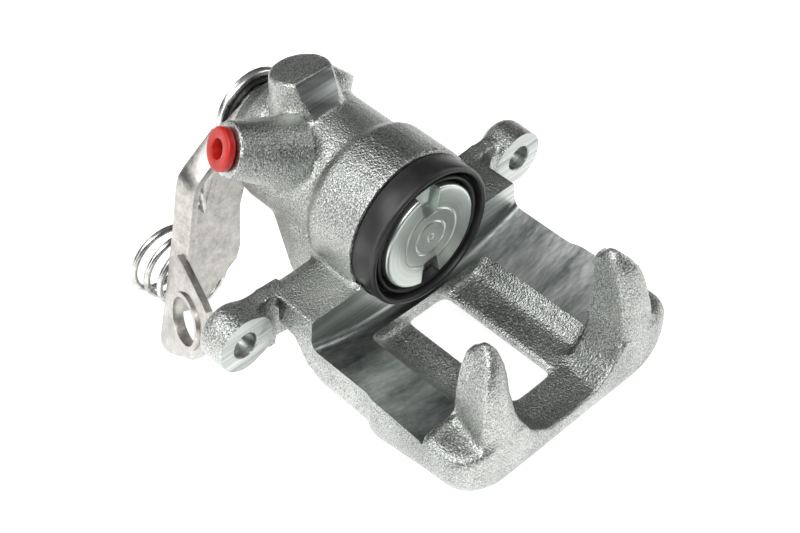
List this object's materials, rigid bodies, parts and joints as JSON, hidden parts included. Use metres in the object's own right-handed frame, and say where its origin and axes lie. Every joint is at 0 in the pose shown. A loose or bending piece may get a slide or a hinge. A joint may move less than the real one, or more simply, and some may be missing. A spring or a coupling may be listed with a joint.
{
  "type": "floating brake caliper",
  "caption": "Floating rear brake caliper with a hydraulic piston, two reaction fingers, a parking-brake lever, a return spring and a cable bracket.",
  "frame": {"origin": "centre of the piston's face with the piston fully in", "axes": "-Y along the piston's axis towards the fingers, +Y towards the parking lever, +Z from the bridge towards the hub, +X to the right seen from the fingers"},
  "size_m": [0.1384, 0.1576, 0.1057],
  "materials": {
    "zinc_cast_iron": "zinc plated over a rough cast skin, machined where it fits",
    "zinc_plate": "smooth pale zinc plate",
    "boot_rubber": "satin black",
    "seal_rubber": "black, oiled",
    "plain_steel": "plain bright steel",
    "dark_steel": "hardened, oiled",
    "ball_steel": "polished",
    "spring_steel": "drawn wire, shiny with dark streaks",
    "bronze": "sintered bronze",
    "bracket_steel": "warm zinc plate with small scratches",
    "lever_steel": "zinc plate, satin",
    "red_plastic": "red, slightly glossy"
  },
  "bodies": {
    "caliper": {"caliper_body": "zinc_cast_iron", "piston_seal": "seal_rubber", "dust_boot": "boot_rubber", "boot_ring": "plain_steel", "adjuster_spring": "spring_steel", "spring_cage": "plain_steel", "cage_ring": "dark_steel", "thrust_washer": "plain_steel", "shaft_bush": "bronze", "shaft_seal": "seal_rubber", "shaft_boot": "boot_rubber", "cable_bracket": "bracket_steel", "bracket_ring": "plain_steel", "return_spring": "spring_steel"},
    "piston": {"piston": "zinc_plate"},
    "push_rod": {"adjuster_nut": "plain_steel", "adjuster_screw": "dark_steel", "push_plate": "dark_steel"},
    "ball_set": {"ramp_ball_1": "ball_steel", "ramp_ball_2": "ball_steel", "ramp_ball_3": "ball_steel"},
    "lever": {"lever": "lever_steel", "lever_nut": "plain_steel", "lever_shaft": "plain_steel", "turning_plate": "dark_steel"},
    "plug": {"port_plug": "red_plastic"}
  },
  "joints": [
    {"name": "piston_slide", "type": "slide", "parent": "caliper", "child": "piston", "axis": [0, -1, 0], "range_m": [0, 0.018], "deforming": ["dust_boot"]},
    {"name": "lever_turn", "type": "hinge", "parent": "caliper", "child": "lever", "pos_m": [0, 0.083, 0], "axis": [0, 1, 0], "range_deg": [0, 24], "stiffness_Nm_per_rad": 0.8, "springref_deg": -22.92, "deforming": ["return_spring"]},
    {"name": "push_slide", "type": "slide", "parent": "caliper", "child": "push_rod", "axis": [0, -1, 0], "range_m": [0, 0.0025], "deforming": ["adjuster_spring"]},
    {"name": "ball_roll", "type": "hinge", "parent": "caliper", "child": "ball_set", "pos_m": [0, 0.0595, 0], "axis": [0, 1, 0], "range_deg": [0, 12]},
    {"name": "plug_pull", "type": "slide", "parent": "caliper", "child": "plug", "axis": [-0.863, 0.2643, 0.4305], "range_m": [0, 0.02]}
  ],
  "couplings": [
    {"joint": "push_slide", "follows": "lever_turn", "m_per_rad": 0.0059},
    {"joint": "ball_roll", "follows": "lever_turn", "ratio": 0.5}
  ]
}
